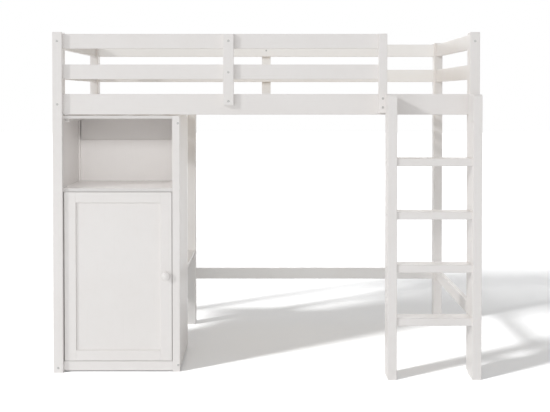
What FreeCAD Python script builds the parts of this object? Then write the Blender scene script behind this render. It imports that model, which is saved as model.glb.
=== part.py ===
import FreeCAD, Part
import math
import os
import Sketcher

# A twin loft bed of painted wood with a ladder at the right and a cabinet under the left end.
# Millimetres, +Z up, X along the bed, the ladder side faces -Y.
# The origin lies on the floor, in the middle of the whole bed with its ladder.

doc = FreeCAD.newDocument("LoftBed")
sheet = doc.addObject("Spreadsheet::Sheet", "Sizes")
axisX = FreeCAD.Vector(1, 0, 0)
axisY = FreeCAD.Vector(0, 1, 0)
axisZ = FreeCAD.Vector(0, 0, 1)


# A number that also knows the sheet expression it comes from
class Size:
    def __init__(self, value, text):
        self.value = value
        self.text = text

    def joined(self, sign, other, value):
        return Size(value, "(%s %s %s)" % (self.text, sign, other.text))

    def __neg__(self):
        return Size(-self.value, "(-%s)" % self.text)

    def __add__(self, other):
        other = asSize(other)
        return self.joined("+", other, self.value + other.value)

    def __sub__(self, other):
        other = asSize(other)
        return self.joined("-", other, self.value - other.value)

    def __mul__(self, other):
        other = asSize(other)
        return self.joined("*", other, self.value * other.value)

    def __truediv__(self, other):
        other = asSize(other)
        return self.joined("/", other, self.value / other.value)

    def __radd__(self, other):
        return asSize(other) + self

    def __rsub__(self, other):
        return asSize(other) - self

    def __rmul__(self, other):
        return asSize(other) * self

    def __float__(self):
        return float(self.value)


def asSize(item):
    if isinstance(item, Size):
        return item
    return Size(float(item), "(%s)" % repr(float(item)))


def cell(alias, value):
    row = len(cellNames) + 1
    cellNames.append(alias)
    sheet.set("A%d" % row, alias)
    sheet.set("B%d" % row, str(value))
    sheet.setAlias("B%d" % row, alias)
    return Size(float(value), "Sizes." + alias)


cellNames = []

# Overall frame
bedLength = cell("bedLength", 2019)
frameDepth = cell("frameDepth", 1092)
ladderDepth = cell("ladderDepth", 119)
postHeight = cell("postHeight", 1616.5)
postWidth = cell("postWidth", 46)
postDepth = cell("postDepth", 74)
postRound = cell("postRound", 3)
middlePostRight = cell("middlePostRight", -406)

# Rails
railThick = cell("railThick", 22)
railRound = cell("railRound", 2.5)
sideRailLow = cell("sideRailLow", 1226)
sideRailHigh = cell("sideRailHigh", 98)
guardMiddleLow = cell("guardMiddleLow", 1394)
guardTopLow = cell("guardTopLow", 1539)
guardRailHigh = cell("guardRailHigh", 70)
lowerRailLow = cell("lowerRailLow", 258)
lowerRailHigh = cell("lowerRailHigh", 62)
floorRailLow = cell("floorRailLow", 5)
floorRailHigh = cell("floorRailHigh", 36)
tenonThick = cell("tenonThick", 12)
tenonHigh = cell("tenonHigh", 50)
tenonLong = cell("tenonLong", 12)

# Uprights of the guard
uprightWide = cell("uprightWide", 50)
uprightLow = cell("uprightLow", 1271)
uprightTop = cell("uprightTop", 1607)
frontUprightX = cell("frontUprightX", -178)
entryUprightLeft = cell("entryUprightLeft", 532)
entryUprightWide = cell("entryUprightWide", 40)
entryUprightLow = cell("entryUprightLow", 1234)

# Slats and what carries them
ledgerThick = cell("ledgerThick", 20)
ledgerHigh = cell("ledgerHigh", 32)
ledgerLow = cell("ledgerLow", 1232)
slatThick = cell("slatThick", 18)
slatWide = cell("slatWide", 68)
slatPitch = cell("slatPitch", 139)
slatPlay = cell("slatPlay", 0.5)
slatCount = 14

# Ladder
stringerLeft = cell("stringerLeft", 563)
stringerThick = cell("stringerThick", 42)
stringerTop = cell("stringerTop", 1322)
stringerCorner = cell("stringerCorner", 15)
ladderClear = cell("ladderClear", 350)
rungDepth = cell("rungDepth", 97)
rungThick = cell("rungThick", 36)
rungRound = cell("rungRound", 4)
rungFirst = cell("rungFirst", 249)
rungPitch = cell("rungPitch", 247)
rungSetback = cell("rungSetback", 10)
rungCount = 4

# Cabinet
cabinetRight = cell("cabinetRight", -411)
cabinetDepth = cell("cabinetDepth", 498)
cabinetTop = cell("cabinetTop", 1222)
faceSetback = cell("faceSetback", 20)
faceThick = cell("faceThick", 18)
stileWide = cell("stileWide", 35)
rightSideThick = cell("rightSideThick", 16)
rightSideLift = cell("rightSideLift", 10)
leftSideThick = cell("leftSideThick", 7.5)
boardThick = cell("boardThick", 15)
boardRound = cell("boardRound", 1)
cubbyShelfLow = cell("cubbyShelfLow", 860)
cubbyShelfThick = cell("cubbyShelfThick", 16)
backSetback = cell("backSetback", 457)
backThick = cell("backThick", 6)
backRailThick = cell("backRailThick", 16)
backRailLow = cell("backRailLow", 1090)
battenWide = cell("battenWide", 9)
battenDeep = cell("battenDeep", 18)
backRailGap = cell("backRailGap", 4.5)
topCleatWide = cell("topCleatWide", 22)
topCleatHigh = cell("topCleatHigh", 16)
plinthLow = cell("plinthLow", 6)
plinthTop = cell("plinthTop", 51)
rearShelfTop = cell("rearShelfTop", 428)
cleatHigh = cell("cleatHigh", 30)
cleatThick = cell("cleatThick", 20)
tubeRadius = cell("tubeRadius", 12.5)
tubeWall = cell("tubeWall", 1.5)
tubeHeight = cell("tubeHeight", 812)
tubeSetback = cell("tubeSetback", 250)

# Door
doorLow = cell("doorLow", 53)
doorTop = cell("doorTop", 858)
doorHingeGap = cell("doorHingeGap", 3.5)
doorLatchGap = cell("doorLatchGap", 2.5)
doorStileWide = cell("doorStileWide", 55)
doorRailHigh = cell("doorRailHigh", 50)
doorPanelThick = cell("doorPanelThick", 6)
doorPanelSetback = cell("doorPanelSetback", 9)
doorGroove = cell("doorGroove", 8)
grooveFit = cell("grooveFit", 0.1)
knobX = cell("knobX", -476)
knobHeight = cell("knobHeight", 461)
knobRadius = cell("knobRadius", 20)
knobLong = cell("knobLong", 30)

# Pivots and catch
pivotInset = cell("pivotInset", 12)
pinRadius = cell("pinRadius", 3)
pinFit = cell("pinFit", 0.05)
pinDeep = cell("pinDeep", 12)
pinReach = cell("pinReach", 11)
collarRadius = cell("collarRadius", 6.5)
collarThick = cell("collarThick", 1.9)
sleeveRadius = cell("sleeveRadius", 5)
sleeveLong = cell("sleeveLong", 14)
catchWide = cell("catchWide", 40)
catchHigh = cell("catchHigh", 15)
strikeThick = cell("strikeThick", 1.2)

# Fasteners
boltRadius = cell("boltRadius", 3)
boltHole = cell("boltHole", 3.3)
headRadius = cell("headRadius", 5.6)
headHigh = cell("headHigh", 4)
headRecess = cell("headRecess", 1.5)
headHole = cell("headHole", 6)
nutRadius = cell("nutRadius", 5)
nutLong = cell("nutLong", 14)
nutFit = cell("nutFit", 0.1)
nutReach = cell("nutReach", 30)

# Faces and planes that several pieces share
ladderFrontY = -(ladderDepth + frameDepth) / 2
frontY = (ladderDepth - frameDepth) / 2
rearY = (ladderDepth + frameDepth) / 2
halfLength = bedLength / 2
innerX = halfLength - postWidth
postCentreX = halfLength - postWidth / 2
railSetback = (postDepth - railThick) / 2
guardTop = guardTopLow + guardRailHigh
rearPostY = rearY - postDepth
stringerRight = stringerLeft + stringerThick + ladderClear
faceBack = frontY + faceSetback + faceThick
cabinetLeft = -innerX
stileLeft = cabinetRight - stileWide
rightSideLeft = cabinetRight - rightSideThick
cabinetBackY = frontY + cabinetDepth
backFrontY = frontY + backSetback
leftSideOuter = railThick / 2 - postCentreX
boardLeft = leftSideOuter + leftSideThick
shelfLow = rearShelfTop - boardThick
middlePostLeft = middlePostRight - postWidth

cuts = {}
nodes = {}


def bind(item, prop, amount):
    item.setExpression(prop, asSize(amount).text)


def point(x, y, z):
    return FreeCAD.Vector(float(x), float(y), float(z))


def turned(start, direction):
    return FreeCAD.Placement(start, FreeCAD.Rotation(axisZ, direction))


def block(name, corner, extent):
    box = doc.addObject("Part::Box", name)
    for prop, amount in zip(("Length", "Width", "Height"), extent):
        bind(box, prop, amount)
    for axis, amount in zip("xyz", corner):
        bind(box, "Placement.Base." + axis, amount)
    return box


def rounded(base, radius, wanted):
    doc.recompute()
    fillet = doc.addObject("Part::Fillet", base.Name + "_rounded")
    fillet.Base = base
    edges = enumerate(base.Shape.Edges, 1)
    fillet.Edges = [(number, float(radius), float(radius)) for number, edge in edges if wanted(edge)]
    return fillet


def drilled(name, base):
    # The piece with the holes, grooves and notches that are noted for it
    tools = cuts.get(name, [])
    if tools:
        tool = tools[0]
        if len(tools) > 1:
            tool = doc.addObject("Part::MultiFuse", name + "_holes")
            tool.Shapes = tools
        cut = doc.addObject("Part::Cut", name + "_drilled")
        cut.Base = base
        cut.Tool = tool
        base = cut
    base.Label = name
    return base


def node(name, base):
    nodes[name] = drilled(name, base)


def group(name, members):
    compound = doc.addObject("Part::Compound", name + "_set")
    compound.Links = members
    compound.Label = name
    nodes[name] = compound


def roundedBoard(name, corner, extent, radius=railRound):
    # The four long edges are rounded, the ends stay square.
    blank = block(name + "_blank", corner, extent)
    spans = [float(amount) for amount in extent]
    longAxis = spans.index(max(spans))

    def runsAlong(edge):
        return abs(edge.tangentAt(edge.FirstParameter)[longAxis]) > 0.9

    return rounded(blank, radius, runsAlong)


def board(name, corner, extent, radius=railRound):
    node(name, roundedBoard(name, corner, extent, radius))


# Holes and fasteners. Each call drills the nodes it names and notes one fastener.

boltSites = []
crossNutSites = []
insertNutSites = []
woodScrewSites = []


def drill(names, start, direction, radius, length):
    hole = doc.addObject("Part::Cylinder", "hole")
    bind(hole, "Radius", radius)
    hole.Height = float(length)
    hole.Placement = turned(start, direction)
    for name in names:
        cuts.setdefault(name, []).append(hole)
    return hole


def bolt(start, direction, passes, grip, ends):
    # A hex socket bolt sunk in the first piece, with a clearance hole up to its nut.
    tipPast = 5
    drill(passes[:1], start - direction * 1, direction, headHole, float(headRecess + headHigh) + 1)
    drill(passes + [ends], start, direction, boltHole, float(grip) + tipPast + 1)
    boltSites.append((start, direction, float(grip) + tipPast))


def crossBolt(start, direction, passes, grip, ends, nutSide, cover):
    # The nut is a cross dowel, let in from the face that lies cover away on the nut's side.
    bolt(start, direction, passes, grip, ends)
    centre = start + direction * float(grip)
    skin = 0.5
    reach = float(cover) + float(nutLong) / 2 + skin
    drill([ends], centre + nutSide * float(cover), nutSide * -1, nutRadius + nutFit, reach)
    crossNutSites.append((centre, nutSide, direction))


def insertBolt(start, direction, passes, through, ends):
    # The nut is a sleeve let in from the far face, which lies through from the head's face.
    insertLong = 13
    far = start + direction * float(through)
    drill(passes[:1], start - direction * 1, direction, headHole, float(headRecess + headHigh) + 1)
    drill(passes + [ends], start, direction, boltHole, float(through))
    drill([ends], far + direction * 1, direction * -1, nutRadius + nutFit, insertLong + 1.5)
    boltSites.append((start, direction, float(through) - 2))
    insertNutSites.append((far - direction * insertLong, direction, insertLong))


def sunkHole(names, start, direction, shape, length):
    # A countersunk screw's hole: a cone at the surface and a cylinder under it.
    play = 0.05
    cone = doc.addObject("Part::Cone", "countersink")
    cone.Radius1 = shape["headRadius"] + play
    cone.Radius2 = shape["radius"] + play
    cone.Height = shape["headHigh"]
    cone.Placement = turned(start, direction)
    cuts.setdefault(names[0], []).append(cone)
    drill(names, start, direction, shape["radius"] + play, length + 1)


longScrew = 40
midScrew = 36
shortScrew = 30
railScrew = 25
smallScrewLong = 13
woodScrew = {"radius": 2.0, "headRadius": 3.8, "headHigh": 2.2, "recess": 2.4, "slot": 0.9}
smallScrew = {"radius": 1.4, "headRadius": 2.5, "headHigh": 1.2, "recess": 1.5, "slot": 0.6}


def screw(start, direction, names, length):
    sunkHole(names, start, direction, woodScrew, length)
    woodScrewSites.append((start, direction, length))


postCentreDepth = postDepth / 2
sides = {"left": -1, "right": 1}

# Bolts through the corner posts along Y, into the rails of the two ends
for side, sign in sides.items():
    lowName = {"left": "floor_rail_left", "right": "lower_rail_right"}[side]
    lowHeight = {"left": floorRailLow + floorRailHigh / 2, "right": lowerRailLow + lowerRailHigh / 2}[side]
    for row, faceY, direction in (("front", frontY, axisY), ("rear", rearY, axisY * -1)):
        for rail, height in (
            ("guard_top_" + side, guardTopLow + guardRailHigh / 2),
            ("end_rail_" + side, sideRailLow + sideRailHigh / 2),
            (lowName, lowHeight),
        ):
            crossBolt(
                point(postCentreX * sign, faceY, height),
                direction,
                ["post_%s_%s" % (row, side)],
                postDepth + nutReach,
                rail,
                axisX * sign,
                railThick / 2,
            )

# Bolts through the corner posts along X, into the long rails
sideBoltRise = 26
guardBoltDrop = 20
lowerBoltRise = 14
longJoints = {
    ("front", "left"): ["side_rail", "guard_top", "guard_middle"],
    ("front", "right"): ["side_rail"],
    ("rear", "left"): ["side_rail", "guard_top", "guard_middle"],
    ("rear", "right"): ["side_rail", "guard_top", "guard_middle", "lower_rail"],
}
boltHeights = {
    "side_rail": [sideRailLow + sideBoltRise, sideRailLow + sideRailHigh - sideBoltRise],
    "guard_top": [guardTopLow + guardRailHigh / 2 - guardBoltDrop],
    "guard_middle": [guardMiddleLow + guardRailHigh / 2],
    "lower_rail": [lowerRailLow + lowerBoltRise],
}
# The nuts of these rails go in from below; those of the side rails go in from the inner face.
nutCovers = {
    "guard_top": guardRailHigh / 2 - guardBoltDrop,
    "guard_middle": guardRailHigh / 2,
    "lower_rail": lowerBoltRise,
}
rowCentre = {"front": frontY + postCentreDepth, "rear": rearY - postCentreDepth}
rowInward = {"front": axisY, "rear": axisY * -1}
for (row, side), rails in longJoints.items():
    for rail in rails:
        nutSide, cover = rowInward[row], railThick / 2
        if rail in nutCovers:
            nutSide, cover = axisZ * -1, nutCovers[rail]
        for height in boltHeights[rail]:
            crossBolt(
                point(halfLength * sides[side], rowCentre[row], height),
                axisX * -sides[side],
                ["post_%s_%s" % (row, side)],
                postWidth + nutReach,
                "%s_%s" % (rail, row),
                nutSide,
                cover,
            )

# The rear middle post takes the lower rail's left end and holds the side rail with its tongue.
crossBolt(
    point(middlePostLeft, rowCentre["rear"], lowerRailLow + lowerRailHigh / 2),
    axisX,
    ["post_rear_middle"],
    postWidth + nutReach,
    "lower_rail_rear",
    axisZ * -1,
    lowerRailHigh / 2,
)
tongueBoltSpread = 11
tongueBoltRise = 69
tongueBoltHeight = sideRailLow + tongueBoltRise
for spread in (-tongueBoltSpread, tongueBoltSpread):
    insertBolt(
        point(middlePostLeft + postWidth / 2 + spread, rearY, tongueBoltHeight),
        axisY * -1,
        ["post_rear_middle"],
        railSetback + railThick,
        "side_rail_rear",
    )

# Uprights: each bolt goes through the upright into the rail behind it.
uprightBoltTop = 1575
uprightBoltMiddle = 1427
uprightBoltLow = 1290
uprightJoints = (
    (uprightBoltTop, "guard_top_"),
    (uprightBoltMiddle, "guard_middle_"),
    (uprightBoltLow, "side_rail_"),
)
for height, rail in uprightJoints:
    insertBolt(
        point(frontUprightX, frontY, height),
        axisY,
        ["front_upright"],
        railSetback + railThick,
        rail + "front",
    )
    insertBolt(
        point(0, rearY, height),
        axisY * -1,
        ["rear_upright"],
        railSetback + railThick,
        rail + "rear",
    )
entryBoltX = entryUprightLeft + entryUprightWide / 2
entryBoltHeights = (1303, 1261)
for height in entryBoltHeights:
    insertBolt(
        point(entryBoltX, frontY, height),
        axisY,
        ["entry_upright"],
        railSetback + railThick,
        "side_rail_front",
    )

# The entry upright holds the ends of the two guard rails with screws from behind.
entryScrewRises = (20, 50)
for rail, low in (("guard_top_front", guardTopLow), ("guard_middle_front", guardMiddleLow)):
    for rise in entryScrewRises:
        screw(
            point(entryBoltX, frontY + railSetback + railThick, low + rise),
            axisY * -1,
            [rail, "entry_upright"],
            longScrew,
        )

# Ladder: one bolt at each end of each rung, and the bolts that hold it to the bed
rungCentreY = ladderFrontY + rungSetback + rungDepth / 2
for index in range(rungCount):
    rungName = "ladder_rung_%d" % (index + 1)
    height = rungFirst + rungPitch * index + rungThick / 2
    for startX, direction, side in (
        (stringerLeft, axisX, "left"),
        (stringerRight + stringerThick, axisX * -1, "right"),
    ):
        crossBolt(
            point(startX, rungCentreY, height),
            direction,
            ["ladder_stringer_" + side],
            stringerThick + nutReach,
            rungName,
            axisZ * -1,
            rungThick / 2,
        )
ladderNutReach = 86
ladderBoltInset = 25
ladderBoltHeights = (1192, 640)
rightLadderBoltX = stringerRight + ladderBoltInset
for height in ladderBoltHeights:
    crossBolt(
        point(rightLadderBoltX, frontY + postDepth, height),
        axisY * -1,
        ["post_front_right"],
        postDepth + ladderNutReach,
        "ladder_stringer_right",
        axisX * -1,
        rightLadderBoltX - stringerRight,
    )
spacerInset = 10
spacerLeft = entryUprightLeft + entryUprightWide + 1
spacerRight = stringerLeft + stringerThick
spacerX = (spacerLeft + spacerRight) / 2
spacerLow = sideRailLow + spacerInset
spacerHigh = sideRailHigh - spacerInset * 2
crossBolt(
    point(spacerX, frontY + railSetback + railThick, spacerLow + spacerHigh / 2),
    axisY * -1,
    ["side_rail_front", "ladder_spacer"],
    railSetback + railThick + ladderNutReach,
    "ladder_stringer_left",
    axisX,
    spacerRight - spacerX,
)

# Cabinet: bolts in the stile, screws elsewhere
sideCentreX = cabinetRight - rightSideThick / 2
stileBoltHeights = (1185, 32)
for height in stileBoltHeights:
    crossBolt(
        point(sideCentreX, frontY + faceSetback, height),
        axisY,
        ["cabinet_stile"],
        faceThick + nutReach,
        "cabinet_side_right",
        axisX * -1,
        rightSideThick / 2,
    )
cubbyShelfMiddle = cubbyShelfLow + cubbyShelfThick / 2
sideScrewSetbacks = (160, 400)
for setback in sideScrewSetbacks:
    screwY = frontY + setback
    for piece, height in (
        ("cabinet_top", cabinetTop - boardThick / 2),
        ("cubby_shelf", cubbyShelfMiddle),
        ("cabinet_bottom", plinthTop - boardThick / 2),
    ):
        screw(point(leftSideOuter, screwY, height), axisX, ["cabinet_side_left", piece], longScrew)
    screw(
        point(boardLeft, screwY, floorRailLow + floorRailHigh / 2),
        axisX * -1,
        ["cabinet_side_left", "floor_rail_left"],
        railScrew,
    )
    screw(
        point(sideCentreX, screwY, cabinetTop),
        axisZ * -1,
        ["cabinet_top", "cabinet_side_right"],
        longScrew,
    )
backScrewXs = (-900, -695, -490)
for screwX in backScrewXs:
    screw(
        point(screwX, backFrontY + backThick, cubbyShelfMiddle),
        axisY * -1,
        ["cabinet_back", "cubby_shelf"],
        shortScrew,
    )

# Rear shelf: screws down into its cleats, and the cleats' own screws
shelfScrewXs = (-930, -690, -450)
frontCleatY = cabinetBackY
rearCleatY = rearPostY - cleatThick
for screwX in shelfScrewXs:
    for cleat, lowY in (("front_cleat", frontCleatY), ("rear_cleat", rearCleatY)):
        top = point(screwX, lowY + cleatThick / 2, rearShelfTop)
        screw(top, axisZ * -1, ["rear_shelf", cleat], midScrew)
cleatMiddle = shelfLow - cleatHigh / 2
frontCleatBack = frontCleatY + cleatThick
for cleat, holder, screwX, startY, direction in (
    ("front_cleat", "cabinet_side_right", sideCentreX, frontCleatBack, axisY * -1),
    ("front_cleat", "cabinet_side_left", leftSideOuter + leftSideThick / 2, frontCleatBack, axisY * -1),
    ("rear_cleat", "post_rear_left", -postCentreX, rearCleatY, axisY),
    ("rear_cleat", "post_rear_middle", middlePostLeft + postWidth / 2, rearCleatY, axisY),
):
    screw(point(screwX, startY, cleatMiddle), direction, [cleat, holder], longScrew)

# Slats: a screw at each end, and screws that hold the ledgers between them
ledgerScrewStep = 3
slatX = [(index - (slatCount - 1) / 2) * slatPitch for index in range(slatCount)]
ledgerY = {
    "front": frontY + railSetback + railThick,
    "rear": rearY - railSetback - railThick - ledgerThick,
}
slatTop = ledgerLow + ledgerHigh + slatThick
slatLength = frameDepth - (railSetback + railThick + slatPlay) * 2
for row, lowY in ledgerY.items():
    for index, centreX in enumerate(slatX):
        screw(
            point(centreX, lowY + ledgerThick / 2, slatTop),
            axisZ * -1,
            ["slat_%d" % (index + 1), "ledger_" + row],
            midScrew,
        )
    outward = rowInward[row] * -1
    innerFace = lowY + ledgerThick if row == "front" else lowY
    for index in range(0, slatCount - 1, ledgerScrewStep):
        middleX = (slatX[index] + slatX[index + 1]) / 2
        screw(
            point(middleX, innerFace, ledgerLow + ledgerHigh / 2),
            outward,
            ["ledger_" + row, "side_rail_" + row],
            midScrew,
        )

# Door: places that its fasteners and pieces share

doorLeft = cabinetLeft + doorHingeGap
doorRight = stileLeft - doorLatchGap
doorY = frontY + faceSetback
grooveY = doorY + doorPanelSetback
panelLeft = doorLeft + doorStileWide
panelRight = doorRight - doorStileWide
panelLow = doorLow + doorRailHigh
panelTop = doorTop - doorRailHigh
doorScrewSites = []

# The door turns on two pins: one let down from the cubby's shelf, one let up from the plinth.
# Each pin runs in a sleeve in the end of the door's left stile.
pivotX = doorLeft + pivotInset
pivotY = doorY + faceThick / 2
pinPlay = 0.1
for holder, doorEnd, boardFace, direction in (
    ("cubby_shelf", doorTop, cubbyShelfLow, axisZ),
    ("cabinet_plinth", doorLow, plinthTop, axisZ * -1),
):
    drill([holder], point(pivotX, pivotY, boardFace), direction, pinRadius + pinPlay, pinDeep + 1)
    mouth = point(pivotX, pivotY, doorEnd) + direction
    drill(["door_stile_hinge"], mouth, direction * -1, sleeveRadius + pinPlay, sleeveLong + 2)

# The strike plate, the knob and the magnetic catch that meets the plate
strikeX = doorRight - doorStileWide / 2
strikeLow = doorTop - catchHigh - 1
strikeScrew = point(strikeX, faceBack + strikeThick, strikeLow + catchHigh / 2)
sunkHole(["strike_plate", "door_stile_latch"], strikeScrew, axisY * -1, smallScrew, smallScrewLong)
doorScrewSites.append((strikeScrew, axisY * -1, smallScrewLong))
knobScrewLong = 30
knobScrewHead = 2
knobScrewRadius = 2
knobHolePlay = 0.1
drill(
    ["door_stile_latch", "door_knob"],
    point(knobX, faceBack + 1, knobHeight),
    axisY * -1,
    knobScrewRadius + knobHolePlay,
    knobScrewLong + 2,
)

# Frame: posts, rails and uprights


def post(name, left, lowY, height):
    blank = block(name + "_blank", (left, lowY, 0), (postWidth, postDepth, height))

    def notAtFoot(edge):
        return edge.CenterOfMass.z > 1

    return rounded(blank, postRound, notAtFoot)


for side, left in (("left", -halfLength), ("right", innerX)):
    for row, lowY in (("front", frontY), ("rear", rearPostY)):
        name = "post_%s_%s" % (row, side)
        mortiseX = postCentreX * sides[side] - tenonThick / 2 - grooveFit
        mortiseY = lowY + postDepth - tenonLong - 1 if row == "front" else lowY - 1
        mortise = block(
            name + "_mortise",
            (mortiseX, mortiseY, guardMiddleLow + (guardRailHigh - tenonHigh) / 2 - grooveFit),
            (tenonThick + grooveFit * 2, tenonLong + 2, tenonHigh + grooveFit * 2),
        )
        cuts.setdefault(name, []).append(mortise)
        node(name, post(name, left, lowY, postHeight))

# The rear middle post is notched round the side rail and ends in a tongue behind it.
notch = block(
    "middle_post_notch",
    (middlePostLeft - 1, rearPostY - 1, sideRailLow),
    (postWidth + 2, postDepth - railSetback + 1, sideRailHigh + 10),
)
cuts.setdefault("post_rear_middle", []).append(notch)
node("post_rear_middle", post("post_rear_middle", middlePostLeft, rearPostY, sideRailLow + sideRailHigh))

clearLength = bedLength - postWidth * 2
clearDepth = frameDepth - postDepth * 2
frontRailY = frontY + railSetback
rearRailY = rearY - railSetback - railThick
guardRailEnd = entryUprightLeft + entryUprightWide
for name, low, high in (
    ("side_rail_", sideRailLow, sideRailHigh),
    ("guard_top_", guardTopLow, guardRailHigh),
    ("guard_middle_", guardMiddleLow, guardRailHigh),
):
    frontLength = clearLength if name == "side_rail_" else guardRailEnd + innerX
    board(name + "front", (-innerX, frontRailY, low), (frontLength, railThick, high))
    board(name + "rear", (-innerX, rearRailY, low), (clearLength, railThick, high))
board(
    "lower_rail_rear",
    (middlePostRight, rearRailY, lowerRailLow),
    (innerX - middlePostRight, railThick, lowerRailHigh),
)

endRailX = {"left": -postCentreX - railThick / 2, "right": postCentreX - railThick / 2}
endY = frontY + postDepth
for side in sides:
    railX = endRailX[side]
    board("end_rail_" + side, (railX, endY, sideRailLow), (railThick, clearDepth, sideRailHigh))
    board("guard_top_" + side, (railX, endY, guardTopLow), (railThick, clearDepth, guardRailHigh))
    # The middle guard rail of an end has a tenon in each post.
    railExtent = (railThick, clearDepth, guardRailHigh)
    rail = roundedBoard("guard_middle_" + side, (railX, endY, guardMiddleLow), railExtent)
    tenonX = railX + (railThick - tenonThick) / 2
    tenon = block(
        "guard_middle_%s_tenon" % side,
        (tenonX, endY - tenonLong, guardMiddleLow + (guardRailHigh - tenonHigh) / 2),
        (tenonThick, clearDepth + tenonLong * 2, tenonHigh),
    )
    joined = doc.addObject("Part::MultiFuse", "guard_middle_%s_joined" % side)
    joined.Shapes = [rail, tenon]
    joined.Refine = True
    node("guard_middle_" + side, joined)
board("lower_rail_right", (endRailX["right"], endY, lowerRailLow), (railThick, clearDepth, lowerRailHigh))
board("floor_rail_left", (endRailX["left"], endY, floorRailLow), (railThick, clearDepth, floorRailHigh))

uprightExtent = (uprightWide, railSetback, uprightTop - uprightLow)
board("front_upright", (frontUprightX - uprightWide / 2, frontY, uprightLow), uprightExtent)
board("rear_upright", (-uprightWide / 2, rearY - railSetback, uprightLow), uprightExtent)
board(
    "entry_upright",
    (entryUprightLeft, frontY, entryUprightLow),
    (entryUprightWide, railSetback, guardTop - entryUprightLow),
)

# Slats and ledgers
ledgers = []
for row, lowY in ledgerY.items():
    name = "ledger_" + row
    extent = (clearLength - 2, ledgerThick, ledgerHigh)
    ledgers.append(drilled(name, roundedBoard(name, (-innerX + 1, lowY, ledgerLow), extent)))
group("slat_ledgers", ledgers)
slats = []
for index, centreX in enumerate(slatX):
    name = "slat_%d" % (index + 1)
    corner = (centreX - slatWide / 2, ledgerY["front"] + slatPlay, ledgerLow + ledgerHigh)
    slats.append(drilled(name, roundedBoard(name, corner, (slatWide, slatLength, slatThick))))
group("slats", slats)


# Bodies drawn from sketches


def originPlane(body, role):
    return [feature for feature in body.Origin.OriginFeatures if feature.Role == role][0]


def sketchOn(body, name, role):
    sketch = body.newObject("Sketcher::SketchObject", name)
    sketch.AttachmentSupport = (originPlane(body, role), [""])
    sketch.MapMode = "FlatFace"
    return sketch


def holdPoint(sketch, curve, end, across, up):
    # Ties one end of a curve to its distances from the sketch's origin.
    for kind, amount in (("DistanceX", across), ("DistanceY", up)):
        index = sketch.addConstraint(Sketcher.Constraint(kind, -1, 1, curve, end, float(amount)))
        sketch.setExpression("Constraints[%d]" % index, asSize(amount).text)


def outline(sketch, corners):
    spots = [FreeCAD.Vector(float(across), float(up), 0) for across, up in corners]
    for index, spot in enumerate(spots):
        sketch.addGeometry(Part.LineSegment(spot, spots[(index + 1) % len(spots)]), False)
    for index, (across, up) in enumerate(corners):
        after = (index + 1) % len(spots)
        sketch.addConstraint(Sketcher.Constraint("Coincident", index, 2, after, 1))
        holdPoint(sketch, index, 1, across, up)


def edgeNames(shape, wanted):
    return ["Edge%d" % number for number, edge in enumerate(shape.Edges, 1) if wanted(edge)]


def placeAt(body, corner):
    for axis, amount in zip("xyz", corner):
        bind(body, "Placement.Base." + axis, amount)


def stringer(side, left):
    # A standing plank whose upper front corner is rounded
    name = "ladder_stringer_" + side
    body = doc.addObject("PartDesign::Body", name + "_body")
    sketch = sketchOn(body, name + "_profile", "YZ_Plane")
    outline(sketch, [(0, 0), (ladderDepth, 0), (ladderDepth, stringerTop), (0, stringerTop)])
    pad = body.newObject("PartDesign::Pad", name + "_pad")
    pad.Profile = sketch
    bind(pad, "Length", stringerThick)
    doc.recompute()

    def topFront(edge):
        centre = edge.CenterOfMass
        return abs(centre.y) < 0.1 and abs(centre.z - float(stringerTop)) < 0.1

    corner = body.newObject("PartDesign::Fillet", name + "_corner")
    corner.Base = (pad, edgeNames(pad.Shape, topFront))
    bind(corner, "Radius", stringerCorner)
    doc.recompute()

    def alongSide(edge):
        centre = edge.CenterOfMass
        atSide = min(abs(centre.x), abs(centre.x - float(stringerThick))) < 0.1
        return atSide and centre.z > 1

    soft = body.newObject("PartDesign::Fillet", name + "_edges")
    soft.Base = (corner, edgeNames(corner.Shape, alongSide))
    bind(soft, "Radius", railRound)
    placeAt(body, (left, ladderFrontY, 0))
    node(name, body)


stringer("left", stringerLeft)
stringer("right", stringerRight)
for index in range(rungCount):
    board(
        "ladder_rung_%d" % (index + 1),
        (
            stringerLeft + stringerThick,
            ladderFrontY + rungSetback,
            rungFirst + rungPitch * index,
        ),
        (ladderClear, rungDepth, rungThick),
        rungRound,
    )
board(
    "ladder_spacer",
    (spacerLeft, frontY, spacerLow),
    (spacerRight - spacerLeft, railSetback, spacerHigh),
    boardRound,
)


# Cabinet


def notchedBoard(name, low, thick, faceY, rightX, backY):
    # A lying board, notched at its front left corner round the post and at the right round the stile
    body = doc.addObject("PartDesign::Body", name + "_body")
    sketch = sketchOn(body, name + "_profile", "XY_Plane")
    corners = [(cabinetLeft, faceY)]
    if float(faceY) < float(faceBack):
        corners += [(stileLeft, faceY), (stileLeft, faceBack)]
    corners += [
        (rightX, faceBack),
        (rightX, backY),
        (boardLeft, backY),
        (boardLeft, endY),
        (cabinetLeft, endY),
    ]
    outline(sketch, corners)
    pad = body.newObject("PartDesign::Pad", name + "_pad")
    pad.Profile = sketch
    bind(pad, "Length", thick)
    doc.recompute()

    def onFace(edge):
        return abs(edge.CenterOfMass.y - float(faceY)) < 0.1 and edge.Length > 100

    soft = body.newObject("PartDesign::Fillet", name + "_edges")
    soft.Base = (pad, edgeNames(pad.Shape, onFace))
    bind(soft, "Radius", boardRound)
    placeAt(body, (0, 0, low))
    node(name, body)


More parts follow.
